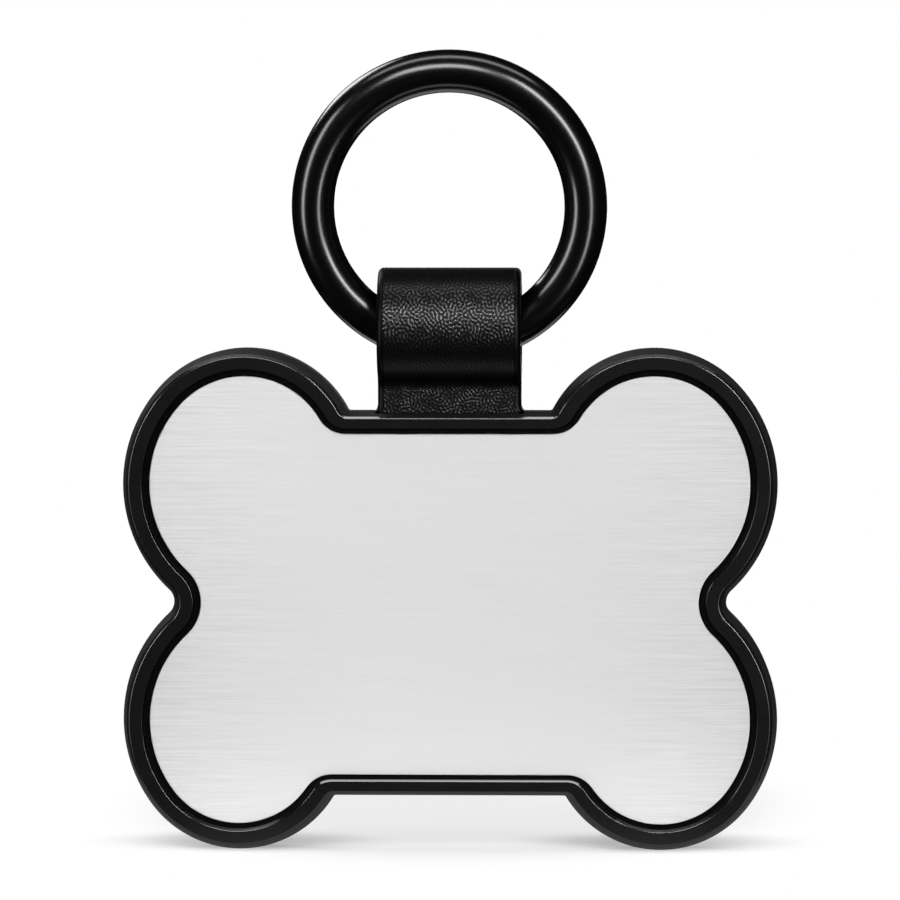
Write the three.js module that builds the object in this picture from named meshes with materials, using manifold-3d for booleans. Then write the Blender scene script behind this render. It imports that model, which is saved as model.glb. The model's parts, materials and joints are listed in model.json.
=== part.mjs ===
// Bone-shaped pet tag: a black metal frame around a brushed plate, carried by a leather loop
// with a round ring through its eye.
// Millimetres, +Z up. The tag stands on its two lower lobes in the XZ plane with its plate
// towards -Y. The strap's two plies meet at y = 0 and the floor is z = 0.

import * as THREE from 'three';
import { mergeVertices } from 'three/addons/utils/BufferGeometryUtils.js';
import Module from 'manifold-3d';

// Bone outline, on the frame's widest edge
const LOBE_SPREAD_X = 12.7;
const LOBE_SPREAD_Z = 8.25;
const FLANK_RADIUS = 10.2;
const TOP_CROWN_RADIUS = 8.05;
const TOP_CROWN_ANGLE = 42;
const BOTTOM_CROWN_RADIUS = 7.7;
const BOTTOM_CROWN_ANGLE = 35.5;
const TOP_BAR_RISE = 13.35;
const BOTTOM_BAR_DROP = 13.6;
const BAR_FILLET = 0.2;
const WAIST_FILLET = 1.1;

// Rim of the frame, seen from the front
const RIM_WIDTH = 1.88;
const BAR_RIM_WIDTH = 1.52;
const SIDE_DRAFT = 0.38;
const DRAFT_DEPTH = 1.8;
const FRONT_BEVEL = 0.2;
const INNER_BEVEL = 0.18;
const RECESS_DRAFT = 0.26;
const BACK_CHAMFER = 0.3;

// Layers behind the rim
const PLATE_RECESS = 0.7;
const PLATE_THICKNESS = 0.5;
const PLATE_CLEARANCE = 0.06;
const ADHESIVE_THICKNESS = 0.1;
const ADHESIVE_SETBACK = 0.6;
const WEB_THICKNESS = 1.0;
const LEDGE_WIDTH = 1.4;
const BACK_RIM_WIDTH = 1.1;
const COVER_CLEARANCE = 0.1;
const COVER_THICKNESS = 0.8;
const COVER_SETBACK = 0.1;
const COVER_CHAMFER = 0.12;

// Cover screws and their bosses
const SCREW_RADIUS = 0.8;
const SCREW_HEAD_RADIUS = 1.4;
const SCREW_HEAD_SINK = 0.06;
const SCREW_CLEARANCE = 0.15;
const SCREW_TIP_GAP = 0.3;
const DRIVE_WIDTH = 0.36;
const DRIVE_LENGTH = 1.7;
const DRIVE_DEPTH = 0.35;
const BOSS_WALL = 0.9;
const BOSS_REACH = 1.1;
const BOSS_ANGLE = 45;
const BOSS_SKIN = 0.4;

// Ring
const RING_INNER_DIAMETER = 16;
const WIRE_DIAMETER = 3;
const RING_LEAN = 8;

// Leather strap
const STRAP_WIDTH = 10;
const LEATHER_THICKNESS = 1.4;
const TAIL_PLY = 0.75;
const NECK_LENGTH = 0.7;
const NECK_FILLET = 0.8;
const FLEX_RISE = 0.75;
const FLEX_GAP = 0.3;
const EYE_CLEARANCE = 0.2;
const EYE_SLACK = 0.35;
const SLOT_CLEARANCE = 0.12;
const SLOT_SIDE_CLEARANCE = 0.2;
const POCKET_CLEARANCE = 0.25;

// Anchor of the strap's tails
const ANCHOR_THICKNESS = 0.5;
const ANCHOR_HEIGHT = 3;
const ANCHOR_OVERHANG = 2;
const ANCHOR_GAP = 0.3;
const FORK_CLEARANCE = 0.05;
const TAIL_BELOW_ANCHOR = 0.8;
const WINDOW_CLEARANCE = 0.4;
const RIVET_RADIUS = 0.6;
const RIVET_HEAD_RADIUS = 1.1;
const RIVET_HEAD_THICKNESS = 0.2;
const RIVET_CLEARANCE = 0.15;
const RIVET_EDGE = 2;

// Fineness of the round stretches
const CROWN_STEPS = 12;
const FLANK_STEPS = 10;
const WAIST_STEPS = 8;
const FILLET_STEPS = 4;
const SCREW_SIDES = 20;
const RIVET_SIDES = 16;
const RING_STEPS = 60;
const WIRE_SIDES = 16;
const EYE_STEPS = 14;

// How far a cutting solid runs past a face that it opens, and into a cut that it meets
const CUT_PAST = 1;
const CUT_OVERLAP = 0.1;

// Points of a mesh that lie closer than this are one point
const SAME_POINT = 1e-4;

// Heights, from the floor up
const bottomLobe = lobeCircles(-1);
const WAIST_Z = BOTTOM_CROWN_RADIUS - bottomLobe.crown.y;
const BAR_TOP_Z = WAIST_Z + TOP_BAR_RISE;
const FLEX_Z = BAR_TOP_Z + FLEX_RISE;

// Depths, from the front of the rim to the back, about the strap's mid plane
const TAIL_HALF = TAIL_PLY + ANCHOR_THICKNESS / 2;
const SEAT_Y = -(TAIL_HALF + POCKET_CLEARANCE);
const PLATE_BACK_Y = SEAT_Y - ADHESIVE_THICKNESS;
const PLATE_FRONT_Y = PLATE_BACK_Y - PLATE_THICKNESS;
const FRONT_Y = PLATE_FRONT_Y - PLATE_RECESS;
const WEB_BACK_Y = SEAT_Y + WEB_THICKNESS;
const COVER_FRONT_Y = TAIL_HALF + POCKET_CLEARANCE;
const COVER_BACK_Y = COVER_FRONT_Y + COVER_THICKNESS;
const BACK_Y = COVER_BACK_Y + COVER_SETBACK;

// Ring and eye: the wire turns in the eye about an axis midway between its lowest point
// and the highest point that it has between the strap's two edges
const WIRE_RADIUS = WIRE_DIAMETER / 2;
const RING_RADIUS = RING_INNER_DIAMETER / 2 + WIRE_RADIUS;
const STRAP_HALF = STRAP_WIDTH / 2;
const wireLow = RING_RADIUS + WIRE_RADIUS;
const wireHigh = Math.sqrt((RING_INNER_DIAMETER / 2) ** 2 - STRAP_HALF ** 2);
const RING_ABOVE_AXIS = (wireLow + wireHigh) / 2;
const EYE_RADIUS = (wireLow - wireHigh) / 2 + EYE_CLEARANCE;
const LOOP_RADIUS = EYE_RADIUS + LEATHER_THICKNESS;
const NECK_HALF = LEATHER_THICKNESS;
const neckToEye = Math.sqrt((LOOP_RADIUS + NECK_FILLET) ** 2 - (NECK_HALF + NECK_FILLET) ** 2);
const NECK_TOP_Z = FLEX_Z + NECK_LENGTH;
const SWING_Z = NECK_TOP_Z + neckToEye;

// Anchor
const HOLLOW_INSET = RIM_WIDTH + LEDGE_WIDTH;
const LEDGE_UNDER_Z = BAR_TOP_Z - barInset(HOLLOW_INSET);
const ANCHOR_TOP_Z = LEDGE_UNDER_Z - ANCHOR_GAP;
const ANCHOR_BOTTOM_Z = ANCHOR_TOP_Z - ANCHOR_HEIGHT;
const ANCHOR_Z = (ANCHOR_TOP_Z + ANCHOR_BOTTOM_Z) / 2;
const ANCHOR_HALF = STRAP_HALF + ANCHOR_OVERHANG;
const TAIL_END_Z = ANCHOR_BOTTOM_Z - TAIL_BELOW_ANCHOR;
const RIVET_X = STRAP_HALF - RIVET_EDGE;

const wasm = await Module();
wasm.setup();

// Bone outline

// The rim is narrower on the straight bars than on the lobes.
function barInset(inset) {
  return inset * BAR_RIM_WIDTH / RIM_WIDTH;
}

// Centres of a right-hand lobe's two circles, from the waist: the crown circle touches the
// larger flank circle from inside. side is 1 for the upper lobe and -1 for the lower one.
function lobeCircles(side) {
  const crownRadius = side > 0 ? TOP_CROWN_RADIUS : BOTTOM_CROWN_RADIUS;
  const angle = THREE.MathUtils.degToRad(side > 0 ? TOP_CROWN_ANGLE : BOTTOM_CROWN_ANGLE);
  const flank = new THREE.Vector2(LOBE_SPREAD_X, side * LOBE_SPREAD_Z);
  const reach = FLANK_RADIUS - crownRadius;
  const crown = new THREE.Vector2(Math.cos(angle), side * Math.sin(angle)).multiplyScalar(reach).add(flank);
  return { flank, crown, crownRadius, angle };
}

function arc(centre, radius, from, to, steps) {
  const curve = new THREE.EllipseCurve(centre.x, centre.y, radius, radius, from, to, to < from);
  return curve.getPoints(steps);
}

// Arcs of a right-hand lobe at an inset from the outline, listed from its bar to the waist.
function lobeArcs(side, inset) {
  const { flank, crown, crownRadius, angle } = lobeCircles(side);
  const barZ = side * ((side > 0 ? TOP_BAR_RISE : BOTTOM_BAR_DROP) - barInset(inset));
  const fillet = BAR_FILLET + inset;
  const filletZ = barZ + side * fillet;
  const filletX = crown.x - Math.sqrt((crownRadius - inset + fillet) ** 2 - (filletZ - crown.y) ** 2);
  const filletCentre = new THREE.Vector2(filletX, filletZ);
  const toCrown = side * Math.atan2(crown.y - filletZ, crown.x - filletX);
  const toWaist = Math.asin(LOBE_SPREAD_Z / (FLANK_RADIUS + WAIST_FILLET));
  const quarter = Math.PI / 2;
  return {
    fillet: arc(filletCentre, fillet, -side * quarter, side * toCrown, FILLET_STEPS),
    crown: arc(crown, crownRadius - inset, side * (toCrown + Math.PI), side * angle, CROWN_STEPS),
    flank: arc(flank, FLANK_RADIUS - inset, side * angle, -side * toWaist, FLANK_STEPS),
    toWaist,
  };
}

// Whole outline at an inset, counter-clockwise seen from the front, from the floor up.
function boneOutline(inset) {
  const lower = lobeArcs(-1, inset);
  const upper = lobeArcs(1, inset);
  const waistReach = (FLANK_RADIUS + WAIST_FILLET) * Math.cos(lower.toWaist);
  const waistCentre = new THREE.Vector2(LOBE_SPREAD_X + waistReach, 0);
  const waistRadius = WAIST_FILLET + inset;
  const waist = arc(waistCentre, waistRadius, Math.PI + lower.toWaist, Math.PI - lower.toWaist, WAIST_STEPS);
  const right = [
    lower.fillet, lower.crown.slice(1), lower.flank.slice(1), waist.slice(1),
    upper.flank.reverse().slice(1), upper.crown.reverse().slice(1), upper.fillet.reverse().slice(1),
  ].flat();
  const left = right.map((point) => new THREE.Vector2(-point.x, point.y)).reverse();
  return [...right, ...left].map((point) => new THREE.Vector2(point.x, point.y + WAIST_Z));
}

// Solids

// Closed solid through the bone outline at several levels, each an inset and a depth,
// listed from front to back.
function boneLoft(levels) {
  const rings = levels.map(({ inset }) => boneOutline(inset));
  const count = rings[0].length;
  const positions = rings.flatMap((ring, k) => ring.flatMap((point) => [point.x, levels[k].y, point.y]));
  const last = (levels.length - 1) * count;
  const triangles = [];
  for (const [a, b, c] of THREE.ShapeUtils.triangulateShape(rings[0], [])) {
    triangles.push(a, b, c);
  }
  for (const [a, b, c] of THREE.ShapeUtils.triangulateShape(rings.at(-1), [])) {
    triangles.push(last + a, last + c, last + b);
  }
  for (let k = 0; k < levels.length - 1; k += 1) {
    for (let i = 0; i < count; i += 1) {
      const a = k * count + i;
      const b = k * count + (i + 1) % count;
      triangles.push(a, b + count, b, a, a + count, b + count);
    }
  }
  const geometry = new THREE.BufferGeometry();
  geometry.setAttribute('position', new THREE.Float32BufferAttribute(positions, 3));
  geometry.setIndex(triangles);
  return geometry;
}

function box(low, high) {
  const size = high.map((value, k) => value - low[k]);
  const middle = high.map((value, k) => (value + low[k]) / 2);
  return new THREE.BoxGeometry(...size).translate(...middle);
}

// Turned solid with its axis along Y through (x, z). The profile lists radius and depth pairs
// from front to back.
function turnedAlongY(profile, sides, x, z) {
  const points = profile.map(([radius, y]) => new THREE.Vector2(radius, y));
  return new THREE.LatheGeometry(points, sides).translate(x, 0, z);
}

// Solid of the given side profile, drawn in the (y, z) plane, across the strap's width.
function acrossWidth(shape, half) {
  const geometry = new THREE.ExtrudeGeometry(shape, {
    depth: 2 * half,
    bevelEnabled: false,
    curveSegments: EYE_STEPS,
  });
  const toPart = new THREE.Matrix4().makeBasis(
    new THREE.Vector3(0, 1, 0), new THREE.Vector3(0, 0, 1), new THREE.Vector3(1, 0, 0),
  );
  return geometry.applyMatrix4(toPart).translate(-half, 0, 0);
}

function solid(geometry) {
  const bare = geometry.clone();
  bare.deleteAttribute('normal');
  bare.deleteAttribute('uv');
  const merged = mergeVertices(bare, SAME_POINT);
  const mesh = new wasm.Mesh({
    numProp: 3,
    vertProperties: new Float32Array(merged.attributes.position.array),
    triVerts: new Uint32Array(merged.index.array),
  });
  return new wasm.Manifold(mesh);
}

function geometryOf(manifold) {
  const mesh = manifold.getMesh();
  const geometry = new THREE.BufferGeometry();
  geometry.setAttribute('position', new THREE.BufferAttribute(mesh.vertProperties, 3));
  geometry.setIndex(new THREE.BufferAttribute(mesh.triVerts, 1));
  geometry.computeVertexNormals();
  return geometry;
}

function cut(manifold, geometries) {
  return geometries.reduce((rest, geometry) => rest.subtract(solid(geometry)), manifold);
}

function join(manifold, geometries) {
  return geometries.reduce((whole, geometry) => whole.add(solid(geometry)), manifold);
}

// Finishes

function finish(color, roughness, metalness) {
  return new THREE.MeshStandardMaterial({ color, roughness, metalness });
}

const satinBlack = () => finish(0x17171a, 0.42, 0.6);
const brushedSteel = () => finish(0xd6d7d9, 0.34, 1);
const blackFilm = () => finish(0x202022, 0.8, 0);
const blackLeather = () => finish(0x131314, 0.55, 0);
const barSteel = () => finish(0xa9abae, 0.4, 1);
const rivetBrass = () => finish(0xb08d4a, 0.35, 1);
const glossBlack = () => finish(0x0c0c0e, 0.12, 0.8);

const tag = new THREE.Group();

function place(parent, name, geometry, material) {
  const mesh = new THREE.Mesh(geometry, material);
  mesh.name = name;
  parent.add(mesh);
  return mesh;
}

// Screw places: one on each lobe, along a slant line from its crown's centre
const BOSS_RADIUS = SCREW_RADIUS + SCREW_CLEARANCE + BOSS_WALL;
const BOSS_INSET = HOLLOW_INSET + BOSS_REACH;
const bossSlant = THREE.MathUtils.degToRad(BOSS_ANGLE);
const screwPlaces = [];
for (const side of [1, -1]) {
  const { crown, crownRadius } = lobeCircles(side);
  const reach = crownRadius - BOSS_INSET;
  for (const hand of [-1, 1]) {
    screwPlaces.push({
      x: hand * (crown.x + reach * Math.cos(bossSlant)),
      z: WAIST_Z + crown.y + side * reach * Math.sin(bossSlant),
    });
  }
}
const BOSS_HOLE_Y = SEAT_Y + BOSS_SKIN;
const SCREW_TIP_Y = BOSS_HOLE_Y + SCREW_TIP_GAP;
const SCREW_TOP_Y = COVER_BACK_Y - SCREW_HEAD_SINK;
const SCREW_NECK_Y = SCREW_TOP_Y - (SCREW_HEAD_RADIUS - SCREW_RADIUS);

// Frame: a tray with a web behind the plate, a ledge around the hollow behind the web,
// a rebate for the cover, four screw bosses, and the strap's slot in the top bar
function frameGeometry() {
  const body = solid(boneLoft([
    { inset: SIDE_DRAFT + FRONT_BEVEL, y: FRONT_Y },
    { inset: SIDE_DRAFT, y: FRONT_Y + FRONT_BEVEL },
    { inset: 0, y: FRONT_Y + FRONT_BEVEL + DRAFT_DEPTH },
    { inset: 0, y: BACK_Y - BACK_CHAMFER },
    { inset: BACK_CHAMFER, y: BACK_Y },
  ]));
  const plateRecess = boneLoft([
    { inset: RIM_WIDTH - RECESS_DRAFT - 2 * INNER_BEVEL, y: FRONT_Y - INNER_BEVEL },
    { inset: RIM_WIDTH - RECESS_DRAFT, y: FRONT_Y + INNER_BEVEL },
    { inset: RIM_WIDTH, y: PLATE_FRONT_Y },
    { inset: RIM_WIDTH, y: SEAT_Y },
  ]);
  const coverRebate = boneLoft([
    { inset: BACK_RIM_WIDTH, y: COVER_FRONT_Y },
    { inset: BACK_RIM_WIDTH, y: BACK_Y + CUT_PAST },
  ]);
  const hollow = boneLoft([
    { inset: HOLLOW_INSET, y: WEB_BACK_Y },
    { inset: HOLLOW_INSET, y: COVER_FRONT_Y + CUT_OVERLAP },
  ]);
  const bosses = screwPlaces.map(({ x, z }) => turnedAlongY([
    [0, WEB_BACK_Y - CUT_OVERLAP],
    [BOSS_RADIUS, WEB_BACK_Y - CUT_OVERLAP],
    [BOSS_RADIUS, COVER_FRONT_Y],
    [0, COVER_FRONT_Y],
  ], SCREW_SIDES, x, z));
  const bossHoles = screwPlaces.map(({ x, z }) => turnedAlongY([
    [0, BOSS_HOLE_Y],
    [SCREW_RADIUS + SCREW_CLEARANCE, BOSS_HOLE_Y],
    [SCREW_RADIUS + SCREW_CLEARANCE, COVER_FRONT_Y + CUT_PAST],
    [0, COVER_FRONT_Y + CUT_PAST],
  ], SCREW_SIDES, x, z));
  const slotHalf = STRAP_HALF + SLOT_SIDE_CLEARANCE;
  const mouthDepth = NECK_HALF + SLOT_CLEARANCE;
  const mouthFloor = FLEX_Z - NECK_HALF - FLEX_GAP;
  const mouth = box([-slotHalf, -mouthDepth, mouthFloor], [slotHalf, mouthDepth, BAR_TOP_Z + CUT_PAST]);
  const tailDepth = TAIL_HALF + SLOT_CLEARANCE;
  const channel = box(
    [-slotHalf, SEAT_Y - CUT_OVERLAP, LEDGE_UNDER_Z - CUT_PAST],
    [slotHalf, tailDepth, mouthFloor + CUT_OVERLAP],
  );
  const windowHalf = ANCHOR_HALF + WINDOW_CLEARANCE;
  const window = box(
    [-windowHalf, SEAT_Y - CUT_PAST, TAIL_END_Z - WINDOW_CLEARANCE],
    [windowHalf, COVER_FRONT_Y + CUT_PAST, LEDGE_UNDER_Z],
  );
  const tray = cut(body, [plateRecess, coverRebate, hollow]);
  return geometryOf(cut(join(tray, bosses), [...bossHoles, mouth, channel, window]));
}

place(tag, 'frame', frameGeometry(), satinBlack());

// Plate and the film behind it
const plateInset = RIM_WIDTH + PLATE_CLEARANCE;
place(tag, 'face_plate', boneLoft([
  { inset: plateInset, y: PLATE_FRONT_Y },
  { inset: plateInset, y: PLATE_BACK_Y },
]), brushedSteel());
const filmInset = RIM_WIDTH + ADHESIVE_SETBACK;
place(tag, 'plate_adhesive', boneLoft([
  { inset: filmInset, y: PLATE_BACK_Y },
  { inset: filmInset, y: SEAT_Y },
]), blackFilm());

// Back cover with countersunk screw holes
function coverGeometry() {
  const inset = BACK_RIM_WIDTH + COVER_CLEARANCE;
  const sheet = solid(boneLoft([
    { inset, y: COVER_FRONT_Y },
    { inset, y: COVER_BACK_Y - COVER_CHAMFER },
    { inset: inset + COVER_CHAMFER, y: COVER_BACK_Y },
  ]));
  const neck = SCREW_RADIUS + SCREW_CLEARANCE;
  const mouth = SCREW_HEAD_RADIUS + SCREW_CLEARANCE + SCREW_HEAD_SINK + CUT_PAST;
  const holes = screwPlaces.map(({ x, z }) => turnedAlongY([
    [0, COVER_FRONT_Y - CUT_PAST],
    [neck, COVER_FRONT_Y - CUT_PAST],
    [neck, SCREW_NECK_Y],
    [mouth, COVER_BACK_Y + CUT_PAST],
    [0, COVER_BACK_Y + CUT_PAST],
  ], SCREW_SIDES, x, z));
  return geometryOf(cut(sheet, holes));
}

place(tag, 'back_cover', coverGeometry(), satinBlack());

// Cover screws with a cross recess
function screwGeometry({ x, z }) {
  const blank = solid(turnedAlongY([
    [0, SCREW_TIP_Y],
    [SCREW_RADIUS, SCREW_TIP_Y],
    [SCREW_RADIUS, SCREW_NECK_Y],
    [SCREW_HEAD_RADIUS, SCREW_TOP_Y],
    [0, SCREW_TOP_Y],
  ], SCREW_SIDES, x, z));
  const wide = DRIVE_LENGTH / 2;
  const narrow = DRIVE_WIDTH / 2;
  const floor = SCREW_TOP_Y - DRIVE_DEPTH;
  const past = SCREW_TOP_Y + CUT_PAST;
  return geometryOf(cut(blank, [
    box([x - wide, floor, z - narrow], [x + wide, past, z + narrow]),
    box([x - narrow, floor, z - wide], [x + narrow, past, z + wide]),
  ]));
}

screwPlaces.forEach((spot, index) => {
  place(tag, `cover_screw_${index + 1}`, screwGeometry(spot), satinBlack());
});

// Strap tails: both plies, joined above the anchor bar and forked around it, with a hollow
// round top in which the loop's foot turns
function tailsGeometry() {
  const topRadius = NECK_HALF + FLEX_GAP;
  const topAngle = Math.acos(TAIL_HALF / topRadius);
  const forkHalf = ANCHOR_THICKNESS / 2 + FORK_CLEARANCE;
  const forkTop = ANCHOR_TOP_Z + FORK_CLEARANCE;
  const side = new THREE.Shape();
  side.moveTo(-TAIL_HALF, TAIL_END_Z);
  side.lineTo(-forkHalf, TAIL_END_Z);
  side.lineTo(-forkHalf, forkTop);
  side.lineTo(forkHalf, forkTop);
  side.lineTo(forkHalf, TAIL_END_Z);
  side.lineTo(TAIL_HALF, TAIL_END_Z);
  side.absarc(0, FLEX_Z, topRadius, -topAngle, topAngle - Math.PI, true);
  side.closePath();
  const holes = [-1, 1].map((hand) => turnedAlongY([
    [0, -TAIL_HALF - CUT_PAST],
    [RIVET_RADIUS + RIVET_CLEARANCE, -TAIL_HALF - CUT_PAST],
    [RIVET_RADIUS + RIVET_CLEARANCE, TAIL_HALF + CUT_PAST],
    [0, TAIL_HALF + CUT_PAST],
  ], RIVET_SIDES, hand * RIVET_X, ANCHOR_Z));
  return geometryOf(cut(solid(acrossWidth(side, STRAP_HALF)), holes));
}

place(tag, 'strap_tails', tailsGeometry(), blackLeather());

// Anchor bar between the tails, and the rivets through both
function anchorGeometry() {
  const half = ANCHOR_THICKNESS / 2;
  const bar = solid(box([-ANCHOR_HALF, -half, ANCHOR_BOTTOM_Z], [ANCHOR_HALF, half, ANCHOR_TOP_Z]));
  const holes = [-1, 1].map((hand) => turnedAlongY([
    [0, -CUT_PAST],
    [RIVET_RADIUS + RIVET_CLEARANCE, -CUT_PAST],
    [RIVET_RADIUS + RIVET_CLEARANCE, CUT_PAST],
    [0, CUT_PAST],
  ], RIVET_SIDES, hand * RIVET_X, ANCHOR_Z));
  return geometryOf(cut(bar, holes));
}

place(tag, 'anchor_bar', anchorGeometry(), barSteel());

function rivetGeometry(x) {
  const headY = TAIL_HALF + RIVET_HEAD_THICKNESS;
  return turnedAlongY([
    [0, -headY],
    [RIVET_HEAD_RADIUS, -headY],
    [RIVET_HEAD_RADIUS, -TAIL_HALF],
    [RIVET_RADIUS, -TAIL_HALF],
    [RIVET_RADIUS, TAIL_HALF],
    [RIVET_HEAD_RADIUS, TAIL_HALF],
    [RIVET_HEAD_RADIUS, headY],
    [0, headY],
  ], RIVET_SIDES, x, ANCHOR_Z);
}

place(tag, 'anchor_rivet_left', rivetGeometry(-RIVET_X), rivetBrass());
place(tag, 'anchor_rivet_right', rivetGeometry(RIVET_X), rivetBrass());

// Strap loop: a round foot in the slot's mouth, a short neck, and the eye around the wire,
// with some slack above it
function loopGeometry() {
  const filletCentre = new THREE.Vector2(NECK_HALF + NECK_FILLET, NECK_TOP_Z);
  const toLoop = Math.atan2(SWING_Z - filletCentre.y, filletCentre.x);
  const side = new THREE.Shape();
  side.absarc(0, FLEX_Z, NECK_HALF, Math.PI, 2 * Math.PI, false);
  side.absarc(filletCentre.x, filletCentre.y, NECK_FILLET, Math.PI, Math.PI - toLoop, true);
  side.absarc(0, SWING_Z, LOOP_RADIUS, -toLoop, 0, false);
  side.absellipse(0, SWING_Z, LOOP_RADIUS, LOOP_RADIUS + EYE_SLACK, 0, Math.PI, false);
  side.absarc(0, SWING_Z, LOOP_RADIUS, Math.PI, Math.PI + toLoop, false);
  side.absarc(-filletCentre.x, filletCentre.y, NECK_FILLET, toLoop, 0, true);
  side.closePath();
  const eye = new THREE.Path();
  eye.absarc(0, SWING_Z, EYE_RADIUS, Math.PI, 2 * Math.PI, false);
  eye.absellipse(0, SWING_Z, EYE_RADIUS, EYE_RADIUS + EYE_SLACK, 0, Math.PI, false);
  side.holes.push(eye);
  return acrossWidth(side, STRAP_HALF);
}

place(tag, 'strap_loop', loopGeometry(), blackLeather());

// Ring, leaning forwards in the eye
const swing = new THREE.Group();
swing.position.set(0, 0, SWING_Z);
swing.rotation.x = THREE.MathUtils.degToRad(RING_LEAN);
tag.add(swing);
const ringGeometry = new THREE.TorusGeometry(RING_RADIUS, WIRE_RADIUS, WIRE_SIDES, RING_STEPS);
const ring = place(swing, 'ring', ringGeometry.rotateX(Math.PI / 2), glossBlack());
ring.position.z = RING_ABOVE_AXIS;

export default tag;
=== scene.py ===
import json
import math

import bmesh
import bpy
import numpy as np
from mathutils import Matrix, Quaternion, Vector, kdtree


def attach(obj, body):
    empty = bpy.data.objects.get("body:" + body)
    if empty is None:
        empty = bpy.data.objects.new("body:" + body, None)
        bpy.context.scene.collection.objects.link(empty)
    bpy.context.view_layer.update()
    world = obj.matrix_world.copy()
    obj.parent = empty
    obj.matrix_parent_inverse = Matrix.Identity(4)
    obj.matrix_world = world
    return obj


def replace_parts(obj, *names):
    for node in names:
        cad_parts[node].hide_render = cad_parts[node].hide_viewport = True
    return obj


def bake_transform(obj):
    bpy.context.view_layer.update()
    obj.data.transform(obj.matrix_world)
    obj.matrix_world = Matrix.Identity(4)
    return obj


# Looks of the bone-shaped pet tag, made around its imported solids. Metres, +Z up, the plate
# towards -Y. Shapes are worked out in millimetres and scaled when their meshes are made.

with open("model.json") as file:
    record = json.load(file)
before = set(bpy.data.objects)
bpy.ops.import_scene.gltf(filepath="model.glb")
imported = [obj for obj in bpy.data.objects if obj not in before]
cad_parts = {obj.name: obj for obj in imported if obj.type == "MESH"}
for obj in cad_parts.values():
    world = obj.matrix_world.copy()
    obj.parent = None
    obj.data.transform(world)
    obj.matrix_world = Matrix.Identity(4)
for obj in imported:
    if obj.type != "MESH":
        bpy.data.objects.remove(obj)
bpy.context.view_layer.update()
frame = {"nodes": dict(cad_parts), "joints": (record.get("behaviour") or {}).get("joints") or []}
cad_nodes = frame["nodes"]
joint_places = {joint["name"]: joint["pos_m"] for joint in frame["joints"]}

MM = 0.001

# Bone outline, on the frame's widest edge
LOBE_SPREAD_X = 12.7
LOBE_SPREAD_Z = 8.25
FLANK_RADIUS = 10.2
TOP_CROWN_RADIUS = 8.05
TOP_CROWN_ANGLE = math.radians(42)
BOTTOM_CROWN_RADIUS = 7.7
BOTTOM_CROWN_ANGLE = math.radians(35.5)
TOP_BAR_RISE = 13.35
BOTTOM_BAR_DROP = 13.6
BAR_FILLET = 0.2
WAIST_FILLET = 1.1

# Rim of the frame
RIM_WIDTH = 1.88
BAR_RIM_WIDTH = 1.52
SIDE_DRAFT = 0.38
DRAFT_DEPTH = 1.8
FRONT_BEVEL = 0.2
INNER_BEVEL = 0.18
BEVEL_DEPTH = 0.15
RECESS_DRAFT = 0.26
BACK_CHAMFER = 0.3

# Layers behind the rim
FRONT_Y = -2.55
PLATE_FRONT_Y = -1.85
PLATE_BACK_Y = -1.35
SEAT_Y = -1.25
WEB_BACK_Y = -0.25
COVER_FRONT_Y = 1.25
COVER_BACK_Y = 2.05
BACK_Y = 2.15
PLATE_CLEARANCE = 0.06
HOLLOW_INSET = 3.28
BACK_RIM_WIDTH = 1.1
COVER_CLEARANCE = 0.1
COVER_CHAMFER = 0.12

# Radii of the rounded edges, and bands of the flat faces beside them
FINE_EDGE = 0.05
BEVEL_EDGE = 0.06
SCREW_TIP_EDGE = 0.08
LAND_EDGE = 0.1
BACK_EDGE = 0.1
SIDE_BEND = 0.8
FACE_BAND = 0.4
COVER_BACK_BAND = 0.6

# Painted highlights of the front bevels: a gloss coat between their foot and the flat
# land of the rim, strongest where a bevel faces up
LAND_MIDDLE = 1.0
HIGHLIGHT_BELOW_FOOT = 0.02
OUTER_LAND_DIP = 0.0004
INNER_LAND_DIP = 0.002
LEAST_BEVEL_HIGHLIGHT = 0.1
UPWARD_NORMALS = (-0.1, 0.4)
CROWN_RISES = (1.5, 4.0)
CROWN_HIGHLIGHT_DIMMING = 0.5

# Cover screws, their cross recesses and bosses
SCREW_RADIUS = 0.8
SCREW_HEAD_RADIUS = 1.4
SCREW_HEAD_SINK = 0.06
SCREW_CLEARANCE = 0.15
SCREW_TIP_Y = -0.55
SCREW_TOP_Y = COVER_BACK_Y - SCREW_HEAD_SINK
SCREW_NECK_Y = SCREW_TOP_Y - (SCREW_HEAD_RADIUS - SCREW_RADIUS)
SCREW_TURNS = [math.radians(turn) for turn in (12, 47, 71, 28)]
BOSS_RADIUS = 1.85
BOSS_INSET = 4.38
BOSS_SLANT = math.radians(45)
BOSS_HOLE_Y = -0.85

# Arm of a cross recess: its half length and half width above the head, at its rim and its floor
ARM_ABOVE = (0.95, 0.21)
ARM_RIM = (0.85, 0.19)
ARM_FLOOR = (0.36, 0.11)
RECESS_DEPTH = 0.42

# Ring
RING_RADIUS = 9.5
WIRE_RADIUS = 1.5
RING_LEAN = math.radians(8)
RING_ABOVE_AXIS = 8.6225
SWING_Z = joint_places["ring_swing"][2] / MM

# Leather strap
STRAP_HALF = 5.0
NECK_HALF = 1.4
NECK_FILLET = 0.8
PLY_GAP = 0.04
LOOP_RADIUS = 3.9775
EYE_SLACK = 0.35
NECK_TOP_Z = 32.2017
TAIL_HALF = 1.0
TAIL_END_Z = 24.0
FORK_HALF = 0.3
FORK_TOP_Z = 27.9
FORK_CLOSING = 0.8
STRIP_EDGE_RADIUS = 0.4
STRIP_EDGE_SHARE = 0.47
CREASE_WIDTH = 0.06
CREASE_DEPTH = 0.03
BASE_FLARE = 0.32
BASE_FLARE_HEIGHT = 0.55
RIVET_X = 3.0
RIVET_Z = 26.3
RIVET_HOLE_RADIUS = 0.75

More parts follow.
